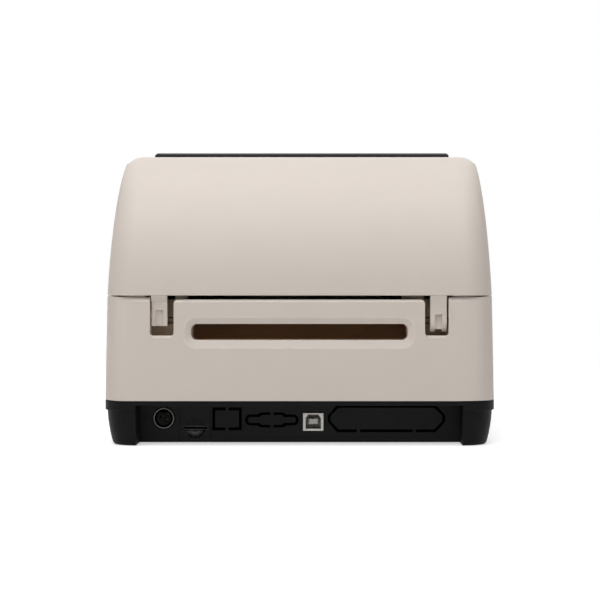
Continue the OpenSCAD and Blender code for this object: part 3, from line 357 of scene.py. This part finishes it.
def room_at(edge, limit):
    """The least distance from an edge to the far edges of its two faces, where it is below limit."""
    a, b = (v.co for v in edge.verts)
    points = [a.lerp(b, t) for t in (0.1, 0.3, 0.5, 0.7, 0.9)]
    room = limit
    for face in edge.link_faces:
        for other in face.edges:
            c, d = (v.co for v in other.verts)
            reach = ((a - b).length + (c - d).length) / 2 + limit
            if set(edge.verts) & set(other.verts) or (a + b - c - d).length / 2 > reach:
                continue
            room = min(room, min(near_segment(p, c, d) for p in points))
    return room


def folds(bm):
    """Points of faces that fold over themselves, where rounded edges ran into each other."""
    area_share = 0.02
    least_area = 2e-8
    few_corners = 10
    spread = {}
    for a, b, c in bm.calc_loop_triangles():
        area = (b.vert.co - a.vert.co).cross(c.vert.co - a.vert.co).length / 2
        spread[a.face] = spread.get(a.face, 0) + area
    points = []
    for f, area in spread.items():
        flat = f.calc_area()
        if abs(area - flat) < max(area_share * flat, least_area):
            continue
        if len(f.verts) < few_corners:
            points += [v.co.copy() for v in f.verts]
            continue
        turn = f.normal.to_track_quat("Z", "Y").inverted()
        ends = [[(turn @ v.co).to_2d() for v in e.verts] for e in f.edges]
        for i, e in enumerate(f.edges):
            for j in range(i):
                other = f.edges[j]
                apart = not set(e.verts) & set(other.verts)
                if apart and intersect_line_line_2d(*ends[i], *ends[j]):
                    points += [v.co.copy() for v in (*e.verts, *other.verts)]
    return points


def round_edges(bm, width, left_out, angle):
    """Rounds each sharp edge by width millimetres, thin ribs by less, and marks the new faces."""
    full_room = 2.3 * width * MM
    least_room = 0.8 * width * MM
    narrow_share = 0.3
    most_gap = 0.6 * width * MM
    skin = BVHTree.FromBMesh(bm)
    turn = bm.edges.layers.int.new("turn")
    mark = bm.faces.layers.float.new("edge")
    wide, narrow = 1, 2
    for i, e in enumerate(bm.edges):
        if i not in left_out and e.is_manifold and e.calc_face_angle(0) > math.radians(angle):
            room = room_at(e, full_room)
            e[turn] = wide if room >= full_room else narrow if room > least_room else 0
    for step, share in ((wide, 1), (narrow, narrow_share)):
        edges = [e for e in bm.edges if e[turn] == step and e.is_manifold]
        made = bmesh.ops.bevel(bm, geom=edges, offset=width * share * MM, offset_type="OFFSET",
                               segments=2, profile=0.5, affect="EDGES", clamp_overlap=False)
        for f in made["faces"]:
            f[mark] = 1.0
        for e in made["edges"]:
            e[turn] = 0
    for v in bm.verts:
        near, _, _, gap = skin.find_nearest(v.co)
        if gap > most_gap:
            v.co = near


def cut_out(bm, blocks):
    """Cuts blocks out of a mesh, given by middle and size in millimetres and tilt about X."""
    tool = bmesh.new()
    for middle, size, tilt in blocks:
        turn = Euler((math.radians(tilt), 0, 0))
        place = Matrix.LocRotScale(Vector(middle) * MM, turn, Vector(size) * MM)
        bmesh.ops.create_cube(tool, size=1, matrix=place)
    pair = []
    for source in (bm, tool):
        mesh = bpy.data.meshes.new("cut_out")
        source.to_mesh(mesh)
        source.free()
        pair.append(bpy.data.objects.new("cut_out", mesh))
        scene.collection.objects.link(pair[-1])
    whole, block = pair
    cut = whole.modifiers.new("cut_out", "BOOLEAN")
    cut.operation = "DIFFERENCE"
    cut.solver = "EXACT"
    cut.object = block
    result = bmesh.new()
    result.from_object(whole, bpy.context.evaluated_depsgraph_get())
    for obj in pair:
        bpy.data.meshes.remove(obj.data)
    return result


def leaning_block(x0, x1, y, z, tilt):
    """A block for cut_out whose inner face leaves a rear wall at y, z and leans in as it rises."""
    size = 3
    below = 1
    out = Vector((0, math.cos(math.radians(tilt)), math.sin(math.radians(tilt))))
    up = Vector((0, -out.z, out.y))
    middle = Vector(((x0 + x1) / 2, y, z)) + out * size / 2 + up * (size - below) / 2
    return middle, (abs(x1 - x0), size, size + below), tilt


# Trim that is cut out of the pieces, in millimetres, from the outer face of the rear wall inwards
REAR_Y = extent("lower_case")[1].y
# Middle and floor of a hinge notch, and the bar that bevels the rear edge of that floor
NOTCH_X = 78.6
NOTCH_Z = 63.6
NOTCH_BEVEL = (10.8, 1.9, 1.9)
# Lip below the seam, outside the notches: its ends, its lower edge, and how far it leans in, in degrees
LIP_FROM = 86.4
LIP_TO = 110
LIP_Z = 82.4
LIP_TILT = 27
# Gap between the two toes of the right hinge arm, below the hinge
HINGE_Y = round(joints["cover_hinge"]["pos_m"][1] / MM, 3)
TOE_GAP_X = -79.75
TOE_GAP = (4.1, 17, 7.3)
cut_outs = {
    "lower_case": [
        *(((side * NOTCH_X, REAR_Y, NOTCH_Z), NOTCH_BEVEL, 45) for side in SIDES),
        *(leaning_block(side * LIP_FROM, side * LIP_TO, REAR_Y, LIP_Z, LIP_TILT) for side in SIDES),
    ],
    "hinge_arm_right": [((TOE_GAP_X, HINGE_Y, NOTCH_Z), TOE_GAP, 0)],
}


def softened(node, width, angle):
    """A copy of a CAD node with its edges rounded by width millimetres, but for those that would fold."""
    tries = 4
    weld = 2e-6
    flat = math.radians(0.3)
    fold_reach = 1.6 * width * MM
    left_out = set()
    for _ in range(tries):
        bm = bmesh.new()
        bm.from_mesh(nodes[node].data)
        if node in cut_outs:
            bm = cut_out(bm, cut_outs[node])
        bmesh.ops.remove_doubles(bm, verts=bm.verts, dist=weld)
        bmesh.ops.dissolve_limit(bm, angle_limit=flat, verts=bm.verts, edges=bm.edges)
        ends = [[v.co.copy() for v in e.verts] for e in bm.edges]
        round_edges(bm, width, left_out, angle)
        points = folds(bm)
        if not points:
            break
        for i, (c, d) in enumerate(ends):
            if i not in left_out and any(near_segment(p, c, d) < fold_reach for p in points):
                left_out.add(i)
    return finish_mesh(bm, node)


# How far edges are rounded, in millimetres, and the least angle of an edge that is rounded
EDGE_WIDTH = 0.25
EDGE_ANGLE = 18
edge_width = {
    "lower_case": 0.45, "base_tray": 0.35, "top_cover": 0.5, "window_pane": 1.0, "media_bay": 0.4,
    "hinge_arm_left": 0.35, "hinge_arm_right": 0.35, "front_fascia": 0.35, "switch_bezel": 0.35,
    "feed_button": 0.5, "release_button_left": 0.5, "release_button_right": 0.5,
    "power_rocker": 0.4, "platen_roller": 0.4, "card_slot_insert": 0.2, "usb_shell": 0.1,
    "usb_tongue": 0.2, "usb_contacts": 0.06, "power_socket_shell": 0.18, "power_socket_core": 0.2,
    "power_contacts": 0.15, "head_springs": 0.05, "tear_bar": 0.12, "platen_gear": 0.12,
    "idler_gear": 0.12, "motor_pinion": 0.1, "guide_pinion": 0.15,
}
edge_angle = {"top_cover": 60}
pieces = {
    node: softened(node, edge_width.get(node, EDGE_WIDTH), edge_angle.get(node, EDGE_ANGLE))
    for node in sorted(nodes)
}


# Faces with painted shade or painted light of their own
def repaint(node, material, chosen):
    """Gives another material to the faces of a piece that are chosen by middle, in mm, and normal."""
    mesh = pieces[node].data
    mesh.materials.append(materials[material])
    for f in mesh.polygons:
        if chosen(f.center / MM, f.normal):
            f.material_index = len(mesh.materials) - 1


def within(p, low, high):
    """Whether a point, or its mirror image in the middle plane, lies in a box."""
    return all(a < v < b for a, v, b in zip(low, (abs(p.x), p.y, p.z), high))


# The face of the connector panel, with painted light that offsets the shade of its recess; painted shade in the
# grooves around its blanks and on the floor of the power socket
PANEL_Y = extent("card_slot_insert")[1].y
SOCKET_Y = extent("power_socket_shell")[0].y
PANEL = ((-1, PANEL_Y - 0.3, 0), (93, PANEL_Y + 0.3, 30))
GROOVES = ((-1, PANEL_Y - 1.7, 3), (93, PANEL_Y - 0.3, 23))
repaint("base_tray", "panel_black_painted_light", lambda c, n: within(c, *PANEL) and n.y > 0.8)
repaint("base_tray", "painted_shade_black", lambda c, n: within(c, *GROOVES))
repaint("power_socket_core", "painted_shade_black", lambda c, n: n.y > 0.9 and c.y < SOCKET_Y + 0.5)
# The hinge pockets and the ribs beside them get painted shade, a darker beige, for they lie in the shade of the
# rear wall
POCKETS = ((71, 126, 62), (86, 141, 88))
SEAM_RIBS = ((58, 126, 75), (72, 141, 88))
repaint("lower_case", "painted_pocket_shade", lambda c, n: within(c, *POCKETS) or within(c, *SEAM_RIBS))
# Painted highlight: a glossier black on the lower half of the finger dish, on the faces that look up
repaint("card_slot_insert", "dish_painted_highlight",
        lambda c, n: max(abs(v) for v in n) < 0.97 and n.y > 0.5 and n.z > 0.1)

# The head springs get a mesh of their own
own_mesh(pieces["head_springs"])


# Studio, in metres: white floor that keeps a soft contact shadow, white surroundings, two soft lights
FLOOR_HALF = 12
LAMP_SIZE = 1.6
LAMP_TARGET = Vector((0, 0, 0.1))


def floor_material():
    """Matte and lifted towards white near the printer, where shadows fall, and plain white far off."""
    near = 0.35
    far = 0.8
    lift = 0.5
    material = bpy.data.materials.new("floor")
    material.use_nodes = True
    tree = material.node_tree
    tree.nodes.remove(tree.nodes["Principled BSDF"])
    kit = Nodes(tree)
    seen = kit.seen()
    place = tree.nodes.new("ShaderNodeTexCoord")
    reach = kit.add("ShaderNodeVectorMath", {0: place.outputs["Object"]})
    reach.operation = "LENGTH"
    fade = kit.add("ShaderNodeMapRange", {0: reach.outputs["Value"]})
    fade.interpolation_type = "SMOOTHSTEP"
    fade.inputs[1].default_value = near
    fade.inputs[2].default_value = far
    matte = kit.add("ShaderNodeBsdfDiffuse", color=(0.9, 0.9, 0.9, 1))
    glow = kit.add("ShaderNodeEmission", {"Strength": kit.math("MULTIPLY", seen, lift)})
    lifted = kit.add("ShaderNodeAddShader", {0: matte.outputs[0], 1: glow.outputs[0]})
    white = kit.add("ShaderNodeEmission")
    both = kit.add("ShaderNodeMixShader", {0: kit.math("MULTIPLY", seen, fade.outputs[0]),
                                           1: lifted.outputs[0], 2: white.outputs[0]})
    tree.links.new(both.outputs[0], tree.nodes["Material Output"].inputs["Surface"])
    return material


def add_floor():
    """A flat square at the height of the feet's undersides."""
    bm = bmesh.new()
    bmesh.ops.create_grid(bm, x_segments=1, y_segments=1, size=FLOOR_HALF)
    mesh = bpy.data.meshes.new("floor")
    bm.to_mesh(mesh)
    bm.free()
    mesh.materials.append(floor_material())
    floor = bpy.data.objects.new("floor", mesh)
    scene.collection.objects.link(floor)


def add_surroundings():
    """White where it is seen; as light, a glow from the front and a little from both sides."""
    from_front = 0.9
    from_sides = 0.15
    world = bpy.data.worlds.new("world")
    world.use_nodes = True
    scene.world = world
    tree = world.node_tree
    kit = Nodes(tree)
    seen = kit.seen()
    place = tree.nodes.new("ShaderNodeTexCoord")
    way = kit.add("ShaderNodeSeparateXYZ", {0: place.outputs["Generated"]}).outputs
    ahead = kit.math("MAXIMUM", kit.math("MULTIPLY", way["Y"], -1), 0)
    front = kit.math("MULTIPLY", kit.math("POWER", ahead, 3), from_front)
    aside = kit.math("ABSOLUTE", way["X"])
    sides = kit.math("MULTIPLY", kit.math("POWER", aside, 3), from_sides)
    unseen = kit.math("MULTIPLY", kit.math("SUBTRACT", 1, seen), kit.math("ADD", front, sides))
    background = tree.nodes["Background"].inputs
    background["Color"].default_value = (1, 1, 1, 1)
    tree.links.new(kit.math("ADD", seen, unseen), background["Strength"])


def add_softbox(name, place, power):
    """A square lamp that faces the printer's middle."""
    data = bpy.data.lights.new(name, "AREA")
    data.shape = "SQUARE"
    data.size = LAMP_SIZE
    data.energy = power
    light = bpy.data.objects.new(name, data)
    light.location = place
    aim = LAMP_TARGET - Vector(place)
    light.rotation_euler = aim.to_track_quat("-Z", "Y").to_euler()
    scene.collection.objects.link(light)


add_floor()
add_surroundings()
add_softbox("overhead", (0, 0.1, 1.5), 14.9)
add_softbox("rear", (0.25, 0.95, 1.25), 15.3)
